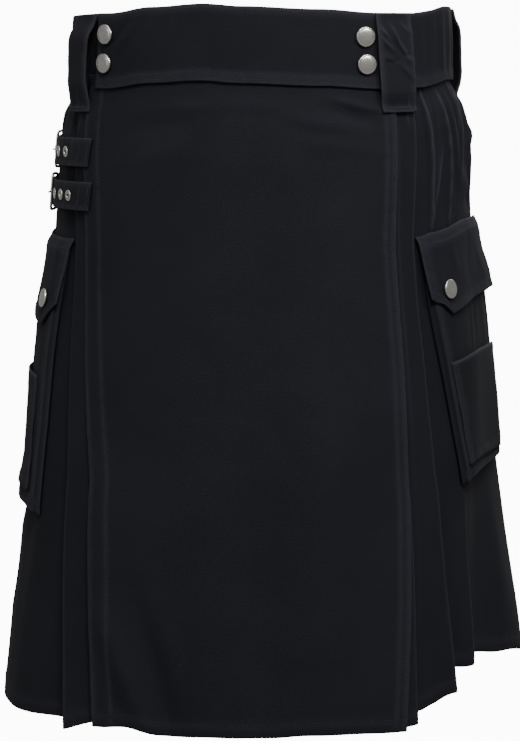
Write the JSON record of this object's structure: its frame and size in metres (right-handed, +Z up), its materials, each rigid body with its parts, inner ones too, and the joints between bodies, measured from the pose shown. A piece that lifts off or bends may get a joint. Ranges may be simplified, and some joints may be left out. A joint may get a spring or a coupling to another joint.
{
  "type": "utility kilt",
  "caption": "Wrap-front utility kilt in black cotton twill with a flat front apron, knife pleats, side cargo pockets, a snap-closed waistband and buckled hip straps.",
  "frame": {"origin": "middle of the waist opening, level with the nominal top edge of the waistband", "axes": "+Z up along the wearer's body, -Y to the wearer's front, +X to the wearer's left"},
  "size_m": [0.4725, 0.3849, 0.6184],
  "materials": {
    "twill": "matt black cotton twill",
    "strap": "matt black twill, doubled and stitched",
    "nickel": "polished nickel plate on brass"
  },
  "bodies": {
    "root": {"waistband_front": "twill", "waistband_back": "twill", "waistband_under": "twill", "apron_outer": "twill", "apron_under": "twill", "side_panel_left": "twill", "side_panel_right": "twill", "back_pleats_left": "twill", "back_pleats_right": "twill", "pocket_left": "twill", "pocket_right": "twill", "pocket_flap_left": "twill", "pocket_flap_right": "twill", "patch_pocket_left": "twill", "patch_pocket_right": "twill", "belt_loop_right_front": "strap", "belt_loop_left_front": "strap", "belt_loop_right_side": "strap", "belt_loop_left_side": "strap", "belt_loop_centre_back": "strap", "strap_1": "strap", "strap_2": "strap", "buckle_chape_1": "strap", "buckle_chape_2": "strap", "strap_keeper_1": "strap", "strap_keeper_2": "strap", "snap_right_upper": "nickel", "snap_right_lower": "nickel", "snap_left_upper": "nickel", "snap_left_lower": "nickel", "snap_pocket_left": "nickel", "snap_pocket_right": "nickel", "buckle_frame_1": "nickel", "buckle_frame_2": "nickel", "buckle_prong_1": "nickel", "buckle_prong_2": "nickel", "eyelet_1_1": "nickel", "eyelet_1_2": "nickel", "eyelet_1_3": "nickel", "eyelet_1_4": "nickel", "eyelet_1_5": "nickel", "eyelet_2_1": "nickel", "eyelet_2_2": "nickel", "eyelet_2_3": "nickel", "eyelet_2_4": "nickel", "eyelet_2_5": "nickel"}
  },
  "joints": []
}
